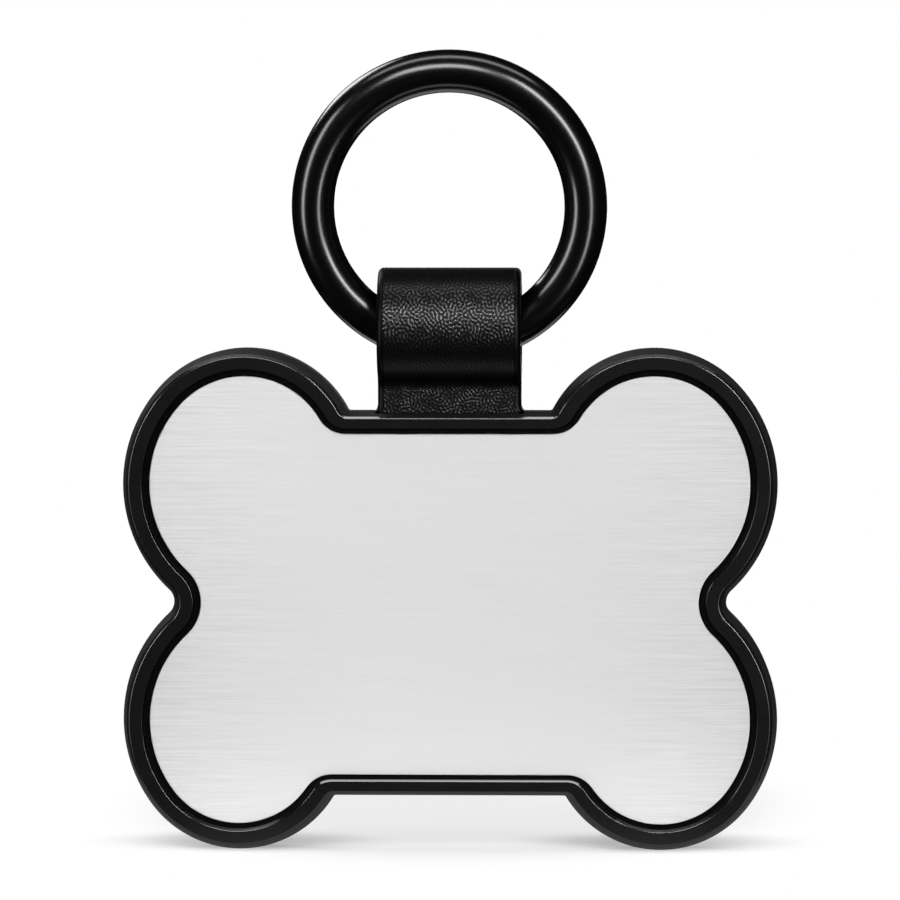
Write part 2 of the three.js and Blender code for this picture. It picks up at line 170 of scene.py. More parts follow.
# Slot for the strap in the top bar, and the window behind the plate where its tails are anchored
SLOT_HALF = 5.2
SLOT_CLEARANCE = 0.12
MOUTH_FLOOR_Z = 29.8
LEDGE_UNDER_Z = 28.1
WINDOW_HALF = 7.4
WINDOW_BOTTOM_Z = 23.6
THINNING_ABOVE_FLOOR = 0.1
THINNING_BELOW_BAR = 0.15

# Where the leather's grain changes along the strip from its fold, with painted shade over the
# fold's top and under the roll
PULLED_AND_SHADED_FADE = (2.2, 4.0)
UNDER_SHADE_START = (5.6, 6.8)
UNDER_SHADE_END = (9.4, 10.4)
TAIL_START = (9.6, 10.6)

# Fineness of the meshes
CROWN_STEPS = 40
FLANK_STEPS = 34
WAIST_STEPS = 20
FILLET_STEPS = 14
EDGE_STEPS = 4
BOSS_SIDES = 40
HOLE_SIDES = 32
SCREW_SIDES = 48
FLOOR_SIDES = 96
TAIL_STATIONS = 40
MOUTH_STATIONS = 8
NECK_STATIONS = 16
NECK_FILLET_STATIONS = 14
LOOP_STATIONS = 48
BAR_LEVEL_GAP = 0.015
EDGE_SUPPORT = 0.03
SLIVER = 0.0005
SMOOTH_ANGLE = math.radians(34)
CUT_PAST = 1.0
CUT_OVERLAP = 0.1

# Shaded part of the floor under the tag, with a painted contact shadow darkest at the two
# lower lobes
SHADED_HALVES = (26.0, 40.0)
LOBE_FOOT_X = 15.0
LOBE_FOOT_Y = 4.0
LOBE_FOOT_HALVES = (11.0, 7.0)

# Studio and camera, in metres and degrees, with the lens and its sensor in millimetres
TAG_MIDDLE = Vector((0, 0, 0.028))
STUDIO_REACH = 0.45
FLOOR_RADIUS = 0.045
FLOOR_BACK = 0.029
PICTURE_WIDTH = 0.063
NEAREST_SEEN = 0.01
FARTHEST_SEEN = 10.0
LENS = 200.0
SENSOR = 36.0
CAMERA_AZIMUTH = 1.7
CAMERA_ELEVATION = 2.4


def smooth_step(value, low, high):
    share = min(1.0, max(0.0, (value - low) / (high - low)))
    return share * share * (3 - 2 * share)


# Bone outline


def lobe_circles(side):
    """Centres of a right-hand lobe's flank and crown circles, from the waist."""
    crown_radius = TOP_CROWN_RADIUS if side > 0 else BOTTOM_CROWN_RADIUS
    angle = TOP_CROWN_ANGLE if side > 0 else BOTTOM_CROWN_ANGLE
    flank = np.array([LOBE_SPREAD_X, side * LOBE_SPREAD_Z])
    reach = FLANK_RADIUS - crown_radius
    crown = flank + reach * np.array([math.cos(angle), side * math.sin(angle)])
    return flank, crown, crown_radius, angle


def arc(centre, radius, start, stop, steps):
    turn = np.linspace(start, stop, steps + 1)
    return np.asarray(centre) + radius * np.stack([np.cos(turn), np.sin(turn)], axis=1)


WAIST_Z = BOTTOM_CROWN_RADIUS - lobe_circles(-1)[1][1]
BAR_TOP_Z = WAIST_Z + TOP_BAR_RISE


def lobe_arcs(side, inset):
    """Fillet, crown and flank of a right-hand lobe, from its bar to the waist."""
    flank, crown, crown_radius, angle = lobe_circles(side)
    bar_inset = inset * BAR_RIM_WIDTH / RIM_WIDTH
    bar_z = side * ((TOP_BAR_RISE if side > 0 else BOTTOM_BAR_DROP) - bar_inset)
    fillet = BAR_FILLET + inset
    fillet_z = bar_z + side * fillet
    span = crown_radius - inset + fillet
    fillet_x = crown[0] - math.sqrt(span**2 - (fillet_z - crown[1]) ** 2)
    to_crown = side * math.atan2(crown[1] - fillet_z, crown[0] - fillet_x)
    to_waist = math.asin(LOBE_SPREAD_Z / (FLANK_RADIUS + WAIST_FILLET))
    quarter = math.pi / 2
    return [
        arc((fillet_x, fillet_z), fillet, -side * quarter, side * to_crown, FILLET_STEPS),
        arc(crown, crown_radius - inset, side * (to_crown + math.pi), side * angle, CROWN_STEPS),
        arc(flank, FLANK_RADIUS - inset, side * angle, -side * to_waist, FLANK_STEPS),
    ]


def bone_outline(inset):
    """Outline at an inset as places in x and z, counter-clockwise seen from the front."""
    lower = lobe_arcs(-1, inset)
    upper = lobe_arcs(1, inset)
    to_waist = math.asin(LOBE_SPREAD_Z / (FLANK_RADIUS + WAIST_FILLET))
    waist_x = LOBE_SPREAD_X + (FLANK_RADIUS + WAIST_FILLET) * math.cos(to_waist)
    turn = math.pi
    waist = arc((waist_x, 0), WAIST_FILLET + inset, turn + to_waist, turn - to_waist, WAIST_STEPS)
    stretches = [*lower, waist, *[stretch[::-1] for stretch in reversed(upper)]]
    right = np.concatenate([stretches[0]] + [stretch[1:] for stretch in stretches[1:]])
    whole = np.concatenate([right, right[::-1] * (-1, 1)])
    return whole + (0, WAIST_Z)


def rounded(corners):
    """Profile through corners of inset, depth and edge radius, with an arc at each rounded edge
    and a supporting point on either side of it."""
    places = [np.array(corner[:2], float) for corner in corners]
    profile = [places[0]]
    for k in range(1, len(corners) - 1):
        radius = corners[k][2]
        if not radius:
            profile.append(places[k])
            continue
        back = places[k - 1] - places[k]
        ahead = places[k + 1] - places[k]
        back /= np.linalg.norm(back)
        ahead /= np.linalg.norm(ahead)
        half = math.acos(float(back @ ahead)) / 2
        turn = math.pi - 2 * half
        reach = radius / math.tan(half)
        middle = places[k] + (back + ahead) / np.linalg.norm(back + ahead) * radius / math.sin(half)
        first = places[k] + back * reach - middle
        last = places[k] + ahead * reach - middle
        profile.append(places[k] + back * (reach + EDGE_SUPPORT))
        for share in np.linspace(0, 1, EDGE_STEPS + 1):
            swung = first * math.sin((1 - share) * turn) + last * math.sin(share * turn)
            profile.append(middle + swung / math.sin(turn))
        profile.append(places[k] + ahead * (reach + EDGE_SUPPORT))
    profile.append(places[-1])
    return profile


# Meshes


def shade(piece):
    """Smooth shading, broken at the sharp edges."""
    data = piece.data
    data.polygons.foreach_set("use_smooth", [True] * len(data.polygons))
    data.set_sharp_from_angle(angle=SMOOTH_ANGLE)
    data.update()
    return piece


def new_piece(name, mesh):
    bmesh.ops.recalc_face_normals(mesh, faces=mesh.faces)
    data = bpy.data.meshes.new(name)
    mesh.to_mesh(data)
    mesh.free()
    piece = bpy.data.objects.new(name, data)
    bpy.context.scene.collection.objects.link(piece)
    return shade(piece)


def stitch(mesh, rings, closed=False):
    """Faces between neighbouring rings of points, each ring closed on itself."""
    pairs = list(zip(rings, rings[1:])) + ([(rings[-1], rings[0])] if closed else [])
    for near, far in pairs:
        for k in range(len(near)):
            after = (k + 1) % len(near)
            mesh.faces.new((near[k], near[after], far[after], far[k]))


def bone_shell(name, profile, finishes, second_strips=0):
    """Closed mesh swept round the bone outline and capped across both ends of its profile. Its
    first strips of faces take the second finish."""
    mesh = bmesh.new()
    rings = [
        [mesh.verts.new((x * MM, depth * MM, z * MM)) for x, z in bone_outline(inset)]
        for inset, depth in profile
    ]
    stitch(mesh, rings)
    mesh.faces.ensure_lookup_table()
    for face in mesh.faces[:second_strips * len(rings[0])]:
        face.material_index = 1
    mesh.faces.new(rings[0])
    mesh.faces.new(rings[-1])
    piece = new_piece(name, mesh)
    for finish in finishes:
        piece.data.materials.append(finish)
    return piece


def turned(name, profile, sides, x=0.0, z=0.0):
    """Closed mesh turned about an axis along Y. The profile of radius and depth pairs starts
    and ends on the axis."""
    mesh = bmesh.new()
    spins = np.linspace(0, 2 * math.pi, sides, endpoint=False)
    rings = []
    for radius, depth in profile[1:-1]:
        ring = []
        for spin in spins:
            aside = x + radius * math.cos(spin)
            up = z + radius * math.sin(spin)
            ring.append(mesh.verts.new((aside * MM, depth * MM, up * MM)))
        rings.append(ring)
    stitch(mesh, rings)
    for (_, depth), ring in ((profile[0], rings[0]), (profile[-1], rings[-1])):
        tip = mesh.verts.new((x * MM, depth * MM, z * MM))
        for k in range(sides):
            mesh.faces.new((ring[k], ring[(k + 1) % sides], tip))
    return new_piece(name, mesh)


def column(name, place, radius, low, high, sides):
    """Round column along Y between two depths, at a place in x and z."""
    return turned(name, [(0, low), (radius, low), (radius, high), (0, high)], sides, *place)


def block(name, low, high):
    """Box between two corners, for cutting."""
    mesh = bmesh.new()
    size = Vector(np.subtract(high, low) * MM)
    middle = Vector(np.add(low, high) / 2 * MM)
    bmesh.ops.create_cube(mesh, size=1, matrix=Matrix.LocRotScale(middle, None, size))
    return new_piece(name, mesh)


def without_slivers(data):
    """Joins points that all but meet and splits many-sided faces, so that no face is empty."""
    mesh = bmesh.new()
    mesh.from_mesh(data)
    bmesh.ops.remove_doubles(mesh, verts=mesh.verts, dist=SLIVER * MM)
    many_sided = [face for face in mesh.faces if len(face.verts) > 4]
    bmesh.ops.triangulate(mesh, faces=many_sided, quad_method="BEAUTY", ngon_method="BEAUTY")
    bmesh.ops.dissolve_degenerate(mesh, dist=SLIVER * MM, edges=mesh.edges)
    mesh.to_mesh(data)
    mesh.free()
    return data


def carve(piece, cutters, operation="DIFFERENCE"):
    """Takes the cutters out of a piece, or joins them to it, and removes them."""
    for cutter in cutters:
        step = piece.modifiers.new(cutter.name, "BOOLEAN")
        step.operation = operation
        step.solver = "EXACT"
        step.object = cutter
    bpy.context.view_layer.update()
    evaluated = piece.evaluated_get(bpy.context.evaluated_depsgraph_get())
    carved = bpy.data.meshes.new_from_object(evaluated)
    piece.modifiers.clear()
    piece.data = without_slivers(carved)
    for cutter in cutters:
        bpy.data.objects.remove(cutter)
    return shade(piece)


def store(piece, name, kind, field, values):
    """Stores a value at each point of a piece, for its finish."""
    attribute = piece.data.attributes.new(name, kind, "POINT")
    attribute.data.foreach_set(field, np.asarray(values, np.float32).ravel())


def mark_edges(piece, full_angle=math.radians(14)):
    """Stores at each point how far it stands on an outer edge, for rubbed edges."""
    mesh = bmesh.new()
    mesh.from_mesh(piece.data)
    marks = []
    for point in mesh.verts:
        bends = [edge.calc_face_angle_signed(0.0) for edge in point.link_edges]
        marks.append(min(1.0, max(0.0, max(bends, default=0.0)) / full_angle))
    mesh.free()
    store(piece, "rubbed_edge", "FLOAT", "value", marks)
    return piece


# Frame


def screw_places():
    """Places of the cover screws: top left, top right, bottom left, bottom right."""
    places = []
    for side in (1, -1):
        _, crown, crown_radius, _ = lobe_circles(side)
        reach = crown_radius - BOSS_INSET
        x = crown[0] + reach * math.cos(BOSS_SLANT)
        z = WAIST_Z + crown[1] + side * reach * math.sin(BOSS_SLANT)
        places += [(-x, z), (x, z)]
    return places


def frame_profile():
    """From the plate's seat up the recess wall, over the rim, round the back and into the hollow."""
    return rounded([
        (RIM_WIDTH, SEAT_Y, 0),
        (RIM_WIDTH, PLATE_FRONT_Y, 0),
        (RIM_WIDTH - RECESS_DRAFT, FRONT_Y + BEVEL_DEPTH, FINE_EDGE),
        (RIM_WIDTH - RECESS_DRAFT - INNER_BEVEL, FRONT_Y, BEVEL_EDGE),
        (SIDE_DRAFT + FRONT_BEVEL, FRONT_Y, LAND_EDGE),
        (SIDE_DRAFT, FRONT_Y + BEVEL_DEPTH, BEVEL_EDGE),
        (0, FRONT_Y + FRONT_BEVEL + DRAFT_DEPTH, SIDE_BEND),
        (0, BACK_Y - BACK_CHAMFER, BACK_EDGE),
        (BACK_CHAMFER, BACK_Y, BACK_EDGE),
        (BACK_RIM_WIDTH, BACK_Y, BEVEL_EDGE),
        (BACK_RIM_WIDTH, COVER_FRONT_Y, 0),
        (HOLLOW_INSET, COVER_FRONT_Y, 0),
        (HOLLOW_INSET, WEB_BACK_Y, 0),
    ])


def strap_slot():
    """Blocks for the slot's mouth, the channel of the tails and the window that anchors them."""
    mouth_depth = NECK_HALF + SLOT_CLEARANCE
    tail_depth = TAIL_HALF + SLOT_CLEARANCE
    mouth = block(
        "slot_mouth",
        (-SLOT_HALF, -mouth_depth, MOUTH_FLOOR_Z),
        (SLOT_HALF, mouth_depth, BAR_TOP_Z + CUT_PAST),
    )
    channel = block(
        "tail_channel",
        (-SLOT_HALF, SEAT_Y - CUT_OVERLAP, LEDGE_UNDER_Z - CUT_PAST),
        (SLOT_HALF, tail_depth, MOUTH_FLOOR_Z + CUT_OVERLAP),
    )
    window = block(
        "anchor_window",
        (-WINDOW_HALF, SEAT_Y - CUT_PAST, WINDOW_BOTTOM_Z),
        (WINDOW_HALF, COVER_FRONT_Y + CUT_PAST, LEDGE_UNDER_Z),
    )
    return [mouth, channel, window]


def paint_bevel_highlights(piece):
    """Stores at each point the strength of the gloss coat that paints the front bevels'
    highlights, strongest where a bevel faces up and near the land. The outer bevel keeps a little
    where it doesn't face up, and the lobes' crowns have less than the bar."""
    outline = bone_outline(0)
    recess = {k for face in piece.data.polygons if face.material_index == 1 for k in face.vertices}
    foot = FRONT_Y + BEVEL_DEPTH + HIGHLIGHT_BELOW_FOOT
    highlight_share = []
    for k, point in enumerate(piece.data.vertices):
        x, y, z = np.array(point.co) / MM
        outer = np.hypot(outline[:, 0] - x, outline[:, 1] - z).min() < LAND_MIDDLE
        land = FRONT_Y + (OUTER_LAND_DIP if outer else INNER_LAND_DIP)
        least = 0.0 if k in recess else LEAST_BEVEL_HIGHLIGHT
        # Strongest where the bevel faces up, towards the lamps above: painted highlight
        upward = least + (1 - least) * smooth_step(point.normal.z, *UPWARD_NORMALS)
        near_land = (foot - y) / (foot - land)
        dimmed = 1 - CROWN_HIGHLIGHT_DIMMING * smooth_step(z - BAR_TOP_Z, *CROWN_RISES)
        highlight_share.append(upward * near_land * dimmed if 0 < near_land < 1 else 0.0)
    store(piece, "painted_bevel_highlight", "FLOAT", "value", highlight_share)
    return piece


def frame_piece(finish, recess_shade):
    """Frame with its screw bosses and the strap's slot. The recess's painted shade takes the
    wall, its edge, the inner bevel and half of the edge beside the land."""
    wall_strips, bevel_strips = 2, 1
    edge_strips = EDGE_STEPS + 2
    recess_strips = wall_strips + edge_strips + bevel_strips + edge_strips // 2
    piece = bone_shell("tag_frame", frame_profile(), [finish, recess_shade], recess_strips)
    hole = SCREW_RADIUS + SCREW_CLEARANCE
    foot, past = WEB_BACK_Y - CUT_OVERLAP, COVER_FRONT_Y + CUT_PAST
    bosses, holes = [], []
    for k, place in enumerate(screw_places()):
        bosses.append(column(f"boss_{k}", place, BOSS_RADIUS, foot, COVER_FRONT_Y, BOSS_SIDES))
        holes.append(column(f"boss_hole_{k}", place, hole, BOSS_HOLE_Y, past, HOLE_SIDES))
    carve(piece, bosses, "UNION")
    carve(piece, [*holes, *strap_slot()])
    return mark_edges(paint_bevel_highlights(piece))


# Plate, rear cover and screws


def plate_piece(finish):
    inset = RIM_WIDTH + PLATE_CLEARANCE
    return bone_shell("brushed_plate", rounded([
        (inset + FACE_BAND, PLATE_FRONT_Y, 0),
        (inset, PLATE_FRONT_Y, FINE_EDGE),
        (inset, PLATE_BACK_Y, FINE_EDGE),
        (inset + FACE_BAND, PLATE_BACK_Y, 0),
    ]), [finish])


def cover_piece(finish):
    """Rear cover with a countersunk hole for each screw."""
    inset = BACK_RIM_WIDTH + COVER_CLEARANCE
    piece = bone_shell("rear_cover", rounded([
        (inset + FACE_BAND, COVER_FRONT_Y, 0),
        (inset, COVER_FRONT_Y, FINE_EDGE),
        (inset, COVER_BACK_Y - COVER_CHAMFER, FINE_EDGE),
        (inset + COVER_CHAMFER, COVER_BACK_Y, BEVEL_EDGE),
        (inset + COVER_BACK_BAND, COVER_BACK_Y, 0),
    ]), [finish])
    neck = SCREW_RADIUS + SCREW_CLEARANCE
    before, past = COVER_FRONT_Y - CUT_PAST, COVER_BACK_Y + CUT_PAST
    mouth = neck + past - SCREW_NECK_Y
    profile = [(0, before), (neck, before), (neck, SCREW_NECK_Y), (mouth, past), (0, past)]
    sinks = [
        turned(f"sink_{k}", profile, SCREW_SIDES, x, z)
        for k, (x, z) in enumerate(screw_places())
    ]
    return mark_edges(carve(piece, sinks))


def recess_arm(name, turn):
    """One arm of a cross recess, narrower at its floor, about the Y axis."""
    mesh = bmesh.new()
    rings = []
    for depth, (length, width) in (
        (SCREW_TOP_Y + CUT_OVERLAP, ARM_ABOVE),
        (SCREW_TOP_Y, ARM_RIM),
        (SCREW_TOP_Y - RECESS_DEPTH, ARM_FLOOR),
    ):
        ring = []
        for along, across in ((-1, -1), (1, -1), (1, 1), (-1, 1)):
            u, v = along * length, across * width
            x = u * math.cos(turn) - v * math.sin(turn)
            z = u * math.sin(turn) + v * math.cos(turn)
            ring.append(mesh.verts.new((x * MM, depth * MM, z * MM)))
        rings.append(ring)
    stitch(mesh, rings)
    mesh.faces.new(rings[0])
    mesh.faces.new(rings[-1])
    return new_piece(name, mesh)


def screw_piece(number, x, z, turn):
    """Countersunk screw, its cross recess turned by its own angle."""
    profile = rounded([
        (0, SCREW_TIP_Y, 0),
        (SCREW_RADIUS, SCREW_TIP_Y, SCREW_TIP_EDGE),
        (SCREW_RADIUS, SCREW_NECK_Y, 0),
        (SCREW_HEAD_RADIUS, SCREW_TOP_Y, BEVEL_EDGE),
        (0, SCREW_TOP_Y, 0),
    ])
    piece = turned(f"rear_screw_{number}", profile, SCREW_SIDES)
    carve(piece, [recess_arm("arm_a", turn), recess_arm("arm_b", turn + math.pi / 2)])
    piece.location = (x * MM, 0, z * MM)
    return mark_edges(piece)


# Ring


def ring_piece(around=192, section=48):
    """Round wire ring, leaning forwards about the axis that it swings on."""
    mesh = bmesh.new()
    rings = []
    for turn in np.linspace(0, 2 * math.pi, around, endpoint=False):
        ring = []
        for spin in np.linspace(0, 2 * math.pi, section, endpoint=False):
            reach = RING_RADIUS + WIRE_RADIUS * math.cos(spin)
            x = reach * math.cos(turn)
            up = reach * math.sin(turn) + RING_ABOVE_AXIS
            out = WIRE_RADIUS * math.sin(spin)
            y = out * math.cos(RING_LEAN) - up * math.sin(RING_LEAN)
            z = out * math.sin(RING_LEAN) + up * math.cos(RING_LEAN) + SWING_Z
            ring.append(mesh.verts.new((x * MM, y * MM, z * MM)))
        rings.append(ring)
    stitch(mesh, rings, closed=True)
    return new_piece("carry_ring", mesh)


# Leather strap: one strip, folded over the ring, with its two tails in the frame


def strip_half_width(z):
    """Half of the strip's width on its straight run: it spreads where it meets the bar."""
    if z < BAR_TOP_Z:
        return STRAP_HALF
    share = max(0.0, 1 - (z - BAR_TOP_Z) / BASE_FLARE_HEIGHT)
    return STRAP_HALF + BASE_FLARE * (1 - math.sqrt(1 - share**2))


def strip_stations():
    """Stations along one ply, from its tail's end to the fold: y, z, outward y and z, thickness
    and half width."""
    stations = []
    heights = np.concatenate([
        np.linspace(TAIL_END_Z, MOUTH_FLOOR_Z, TAIL_STATIONS, endpoint=False),
        np.linspace(MOUTH_FLOOR_Z, BAR_TOP_Z - BAR_LEVEL_GAP, MOUTH_STATIONS),
        np.linspace(BAR_TOP_Z + BAR_LEVEL_GAP, NECK_TOP_Z, NECK_STATIONS),
    ])
    thin_z, full_z = MOUTH_FLOOR_Z + THINNING_ABOVE_FLOOR, BAR_TOP_Z - THINNING_BELOW_BAR
    for z in heights:
        closed = smooth_step(z, FORK_TOP_Z, FORK_TOP_Z + FORK_CLOSING)
        inner = FORK_HALF + (PLY_GAP / 2 - FORK_HALF) * closed
        outer = TAIL_HALF + (NECK_HALF - TAIL_HALF) * smooth_step(z, thin_z, full_z)
        stations.append(((inner + outer) / 2, z, 1.0, 0.0, outer - inner, strip_half_width(z)))
    ply = NECK_HALF - PLY_GAP / 2
    fillet_y = NECK_HALF + NECK_FILLET
    to_loop = math.atan2(SWING_Z - NECK_TOP_Z, fillet_y)
    for turn in np.linspace(math.pi, math.pi - to_loop, NECK_FILLET_STATIONS)[1:]:
        y, z = math.cos(turn), math.sin(turn)
        middle = NECK_FILLET + ply / 2
        stations.append((fillet_y + middle * y, NECK_TOP_Z + middle * z, -y, -z, ply, STRAP_HALF))
    wide = LOOP_RADIUS - ply / 2
    for turn in np.linspace(-to_loop, math.pi / 2, LOOP_STATIONS)[1:]:
        tall = wide + (EYE_SLACK if turn > 0 else 0)
        y, z = wide * math.cos(turn), tall * math.sin(turn)
        out = Vector((math.cos(turn) / wide, math.sin(turn) / tall)).normalized()
        stations.append((y, SWING_Z + z, out.x, out.y, ply, STRAP_HALF))
    return stations


def strip_section(half, thickness, face_steps=22, edge_steps=7):
    """Half of the strip's cross-section, from the outer face's middle round one edge to the
    inner face's middle: place across, place through, and how far it is painted edge."""
    radius = min(STRIP_EDGE_RADIUS, STRIP_EDGE_SHARE * thickness)
    top = thickness / 2
    flat = half - radius
    section = [(u, top, 0.0) for u in np.linspace(0, flat - CREASE_WIDTH, face_steps)]
    section.append((flat - CREASE_WIDTH / 2, top - CREASE_DEPTH, 0.5))
    for start, stop, middle in ((math.pi / 2, 0, top - radius), (0, -math.pi / 2, radius - top)):
        for u, w in arc((flat, middle), radius, start, stop, edge_steps):
            section.append((u, w, 1.0))
    section += [(u, -top, 0.0) for u in np.linspace(flat - CREASE_WIDTH, 0, face_steps)]
    return section


def strap_piece():
    """The whole strip, from the front tail over the ring to the back tail."""
    ply = strip_stations()
    front = [(-y, z, -out_y, out_z, thick, half) for y, z, out_y, out_z, thick, half in ply]
    line = front[:-1] + ply[::-1]
    mesh = bmesh.new()
    rings, place, paint = [], [], []
    run = 0.0
    for k, (y, z, out_y, out_z, thick, half) in enumerate(line):
        if k:
            run += math.dist(line[k - 1][:2], (y, z))
        right = strip_section(half, thick)
        whole = right + [(-u, w, edge) for u, w, edge in reversed(right[1:-1])]
        ring = []
        for u, w, edge in whole:
            ring.append(mesh.verts.new((u * MM, (y + w * out_y) * MM, (z + w * out_z) * MM)))
            place.append((u, run, w))
            paint.append(edge)
        rings.append(ring)
    stitch(mesh, rings)
    mesh.faces.new(rings[0])
    mesh.faces.new(rings[-1])
    piece = new_piece("leather_strap", mesh)
    return pierced(piece, [(u, along - run / 2, w) for u, along, w in place], paint)


def pierced(piece, place, paint):
    """Cuts the rivet holes, then stores each point's place on the strip and its edge paint."""
    tree = kdtree.KDTree(len(place))
    for k, point in enumerate(piece.data.vertices):
        tree.insert(point.co, k)
    tree.balance()
    reach = TAIL_HALF + CUT_PAST
    carve(piece, [
        column(f"rivet_hole_{k}", (x, RIVET_Z), RIVET_HOLE_RADIUS, -reach, reach, HOLE_SIDES)
        for k, x in enumerate((-RIVET_X, RIVET_X))
    ])
    nearest = [tree.find(point.co)[1] for point in piece.data.vertices]
    store(piece, "strip_place", "FLOAT_VECTOR", "vector", [place[k] for k in nearest])
    store(piece, "edge_paint", "FLOAT", "value", [paint[k] for k in nearest])
    return piece


# Finishes


class Wire:
    """An output in a node tree. Arithmetic on it adds Math nodes."""

    def __init__(self, nodes, socket):
        self.nodes = nodes
        self.socket = socket

    def math(self, operation, *values):
        return self.nodes.add("ShaderNodeMath", {"operation": operation}, dict(enumerate(values)))

    def __add__(self, other):
        return self.math("ADD", self, other)

    def __sub__(self, other):
        return self.math("SUBTRACT", self, other)

    def __rsub__(self, other):
        return self.math("SUBTRACT", other, self)

    def __mul__(self, other):
        return self.math("MULTIPLY", self, other)

    def __abs__(self):
        return self.math("ABSOLUTE", self)

    __radd__ = __add__
    __rmul__ = __mul__

    def step(self, low, high):
        """0 below low, 1 above high, and smooth between them."""
        sockets = {"Value": self, "From Min": low, "From Max": high}
        return self.nodes.add("ShaderNodeMapRange", {"interpolation_type": "SMOOTHSTEP"}, sockets)

    def wave(self):
        return self.math("SINE", self)


class Nodes:
    """The node tree of a material or a world."""

    def __init__(self, owner):
        owner.use_nodes = True
        self.owner = owner
        self.tree = owner.node_tree
        self.tree.nodes.clear()

    def add(self, kind, settings=None, sockets=None, output=0):
        """A new node: its settings first, then the values or links of its sockets."""
        node = self.tree.nodes.new(kind)
        for name, value in (settings or {}).items():
            setattr(node, name, value)
        for name, value in (sockets or {}).items():
            if isinstance(value, Wire):
                self.tree.links.new(value.socket, node.inputs[name])
            else:
                node.inputs[name].default_value = value
        return Wire(self, node.outputs[output]) if len(node.outputs) else None

    def place(self):
        """Place on the piece in millimetres."""
        return self.scaled(self.add("ShaderNodeTexCoord", output="Object"), (1 / MM,) * 3)

    def stored(self, name, output="Fac"):
        return self.add("ShaderNodeAttribute", {"attribute_name": name}, output=output)

    def scaled(self, vector, by):
        return self.add("ShaderNodeVectorMath", {"operation": "MULTIPLY"}, {0: vector, 1: by})

    def length(self, vector):
        return self.add("ShaderNodeVectorMath", {"operation": "LENGTH"}, {0: vector}, "Value")

    def axis(self, vector, name):
        return self.add("ShaderNodeSeparateXYZ", None, {0: vector}, name)

    def aslant(self):
        """0 where the surface is seen square on, 1 where it is seen along itself."""
        return self.add("ShaderNodeLayerWeight", None, {"Blend": 0.5}, "Facing")

    def ray(self, kind):
        return self.add("ShaderNodeLightPath", output=f"Is {kind} Ray")

    def noise(self, vector, scale, detail=2.0, roughness=0.5):
        sockets = {"Vector": vector, "Scale": scale, "Detail": detail, "Roughness": roughness}
        return self.add("ShaderNodeTexNoise", None, sockets)

    def mix(self, share, low, high):
        sockets = {0: share, 6: low, 7: high}
        return self.add("ShaderNodeMix", {"data_type": "RGBA"}, sockets, output=2)

    def bump(self, height, depth, strength=1.0):
        sockets = {"Height": height, "Distance": depth * MM, "Strength": strength}
        return self.add("ShaderNodeBump", None, sockets)

    def shader(self, sockets):
        return self.add("ShaderNodeBsdfPrincipled", None, sockets)

    def surface(self, shader):
        """Puts the shader on the material's surface and gives the material back."""
        self.add("ShaderNodeOutputMaterial", None, {"Surface": shader})
        return self.owner

    def mixed_surface(self, share, low, high):
        return self.surface(self.add("ShaderNodeMixShader", None, {0: share, 1: low, 2: high}))


def material_nodes(name):
    return Nodes(bpy.data.materials.new(name))


def grey(value, warm=0.0):
    return (value * (1 + warm), value, value * (1 - warm), 1.0)


def satin_black():
    """Black satin coat on cast metal, a little rubbed on its edges and duller seen aslant."""
    nodes = material_nodes("satin_black_coat")
    place = nodes.place()
    mottle = nodes.noise(place, 0.4, 3)
    grain = nodes.noise(place, 16, 3, 0.6)
    rubbed = nodes.stored("rubbed_edge") * nodes.noise(place, 2.4, 4, 0.6).step(0.46, 0.68)
    dulled = nodes.aslant().step(0.55, 0.85)
    return nodes.surface(nodes.shader({
        "Base Color": nodes.mix(rubbed * 0.6 + grain * 0.2, grey(0.003), grey(0.012)),
        "Roughness": 0.2 + 0.1 * mottle + 0.06 * grain + 0.5 * dulled,
        "Specular IOR Level": 0.23,
        # Coat on the front bevels, mostly where they face up: painted bevel highlights
        "Coat Weight": nodes.stored("painted_bevel_highlight"),
        "Coat Roughness": 0.1,
        "Coat IOR": 2.5,
        "Normal": nodes.bump(grain, 0.004, 0.6),
    }))


def recess_painted_shade():
    """Near-black wall and bevel around the plate, almost unreflecting and darker than the rest of
    the frame: painted shade in the recess. Where the bevel faces up, its coat paints a highlight.
    """
    nodes = material_nodes("painted_shade_recess")
    dust = nodes.noise(nodes.place(), 3.0, 4, 0.6)
    return nodes.surface(nodes.shader({
        # Base far darker than the satin frame, with almost no reflection: painted shade in the
        # recess
        "Base Color": nodes.mix(dust, grey(0.0004), grey(0.001)),
        "Roughness": 0.75 + 0.2 * dust,
        "Specular IOR Level": 0.03,
        # Coat where the inner bevel faces up: painted bevel highlight
        "Coat Weight": nodes.stored("painted_bevel_highlight"),
        "Coat Roughness": 0.12,
        "Coat IOR": 2.5,
        "Normal": nodes.bump(dust, 0.005, 0.5),
    }))


def brushed_steel():
    """Plate metal, brushed straight from left to right, its lines strongest towards both ends."""
    nodes = material_nodes("brushed_plate_metal")
    place = nodes.place()
    hair = nodes.noise(nodes.scaled(place, (0.3, 1, 24)), 1.0, 3, 0.65)
    streak = nodes.noise(nodes.scaled(place, (0.11, 1, 5.5)), 1.0, 3, 0.6)
    sheen = nodes.noise(place, 0.06, 1)
    strength = 0.24 + 0.96 * abs(nodes.axis(place, "X")).step(9, 20)
    lines = 0.5 + strength * (0.6 * hair + 0.4 * streak - 0.5)
    uneven = 0.14 * (lines - 0.5) + 0.05 * (sheen - 0.5)
    return nodes.surface(nodes.shader({
        "Base Color": nodes.mix(lines.step(0.3, 0.7), grey(0.72), grey(0.86)),
        "Roughness": 0.44 + uneven + 1.1 * nodes.aslant(),
        "Metallic": 1.0,
        "Anisotropic": 0.85,
        "Anisotropic Rotation": 0.25,
        "Normal": nodes.bump(lines, 0.003, 0.5),
    }))


